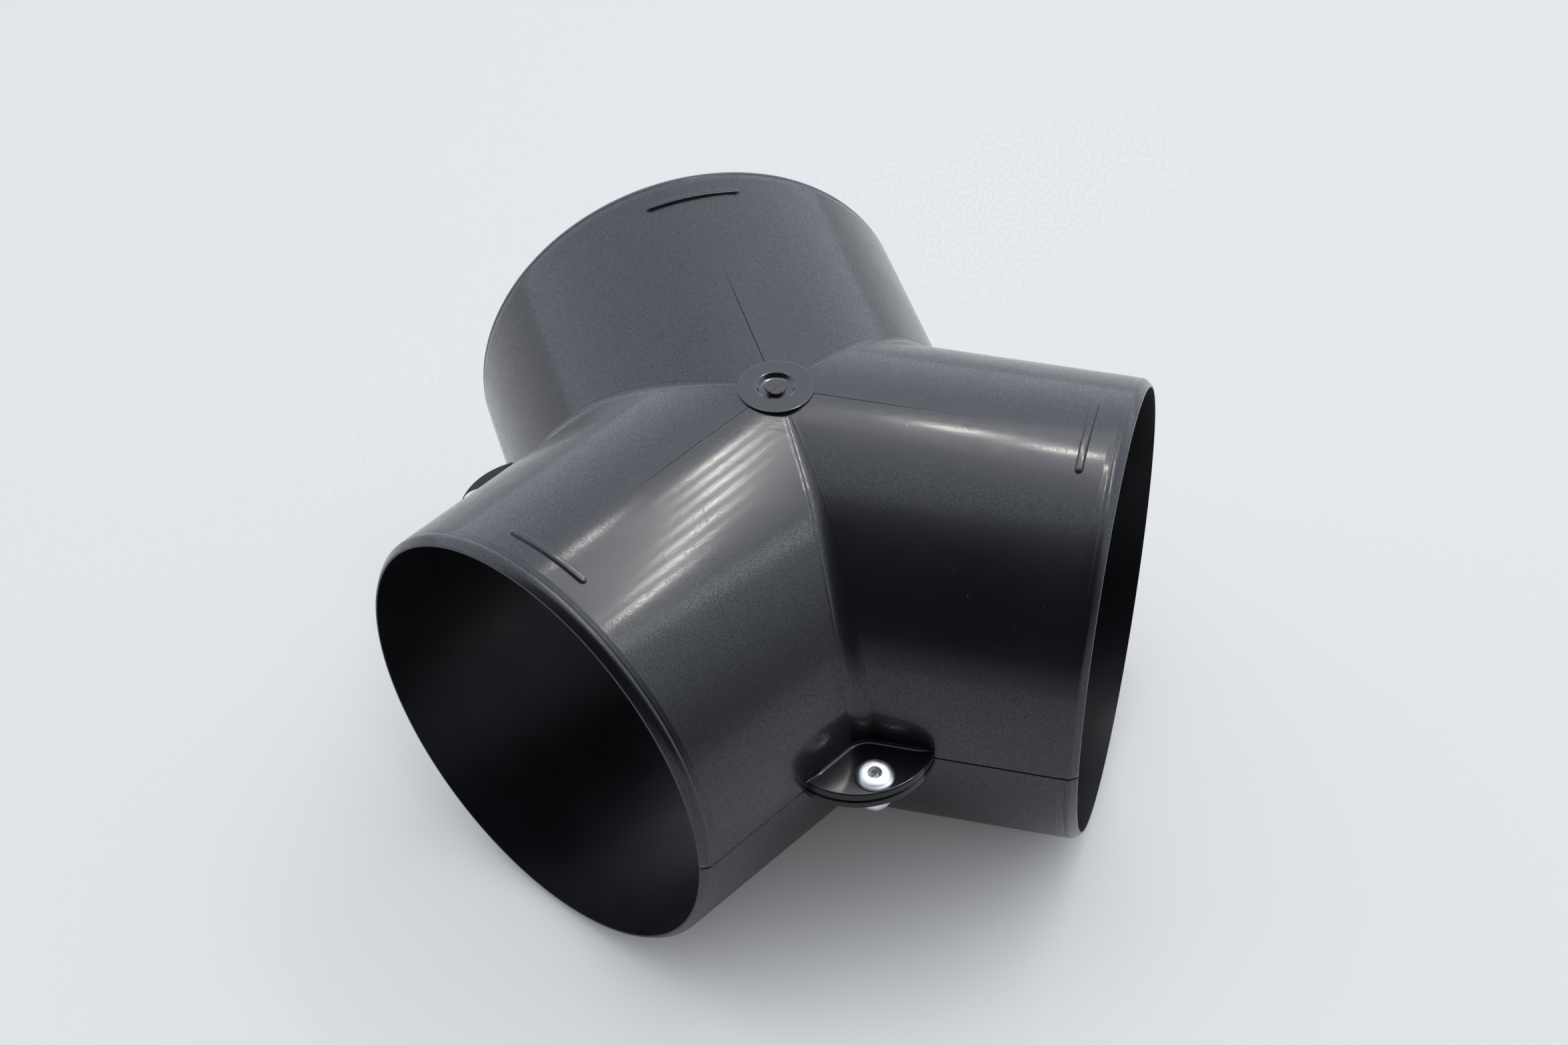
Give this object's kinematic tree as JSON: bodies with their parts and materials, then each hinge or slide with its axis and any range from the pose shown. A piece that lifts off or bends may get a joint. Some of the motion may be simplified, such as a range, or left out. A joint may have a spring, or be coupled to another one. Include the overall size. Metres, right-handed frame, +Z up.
{
  "type": "duct y branch",
  "caption": "Black plastic duct Y branch: equal round branches at even angles, made of an upper and a lower half shell riveted through eye-shaped ears in the crotches.",
  "frame": {"origin": "crossing of the axes of the branches, on the parting plane of the half shells", "axes": "+Z up, square to the parting plane; +Y along one branch, with the other branches at 120 degrees to it on either side"},
  "size_m": [0.1598, 0.1388, 0.091],
  "materials": {
    "shell_plastic": "black moulded plastic with a satin gloss",
    "rivet_aluminium": "bright plain aluminium",
    "mandrel_steel": "broken steel"
  },
  "bodies": {
    "root": {"upper_shell": "shell_plastic", "lower_shell": "shell_plastic", "rivet_body": "rivet_aluminium", "rivet_mandrel": "mandrel_steel"}
  },
  "joints": []
}
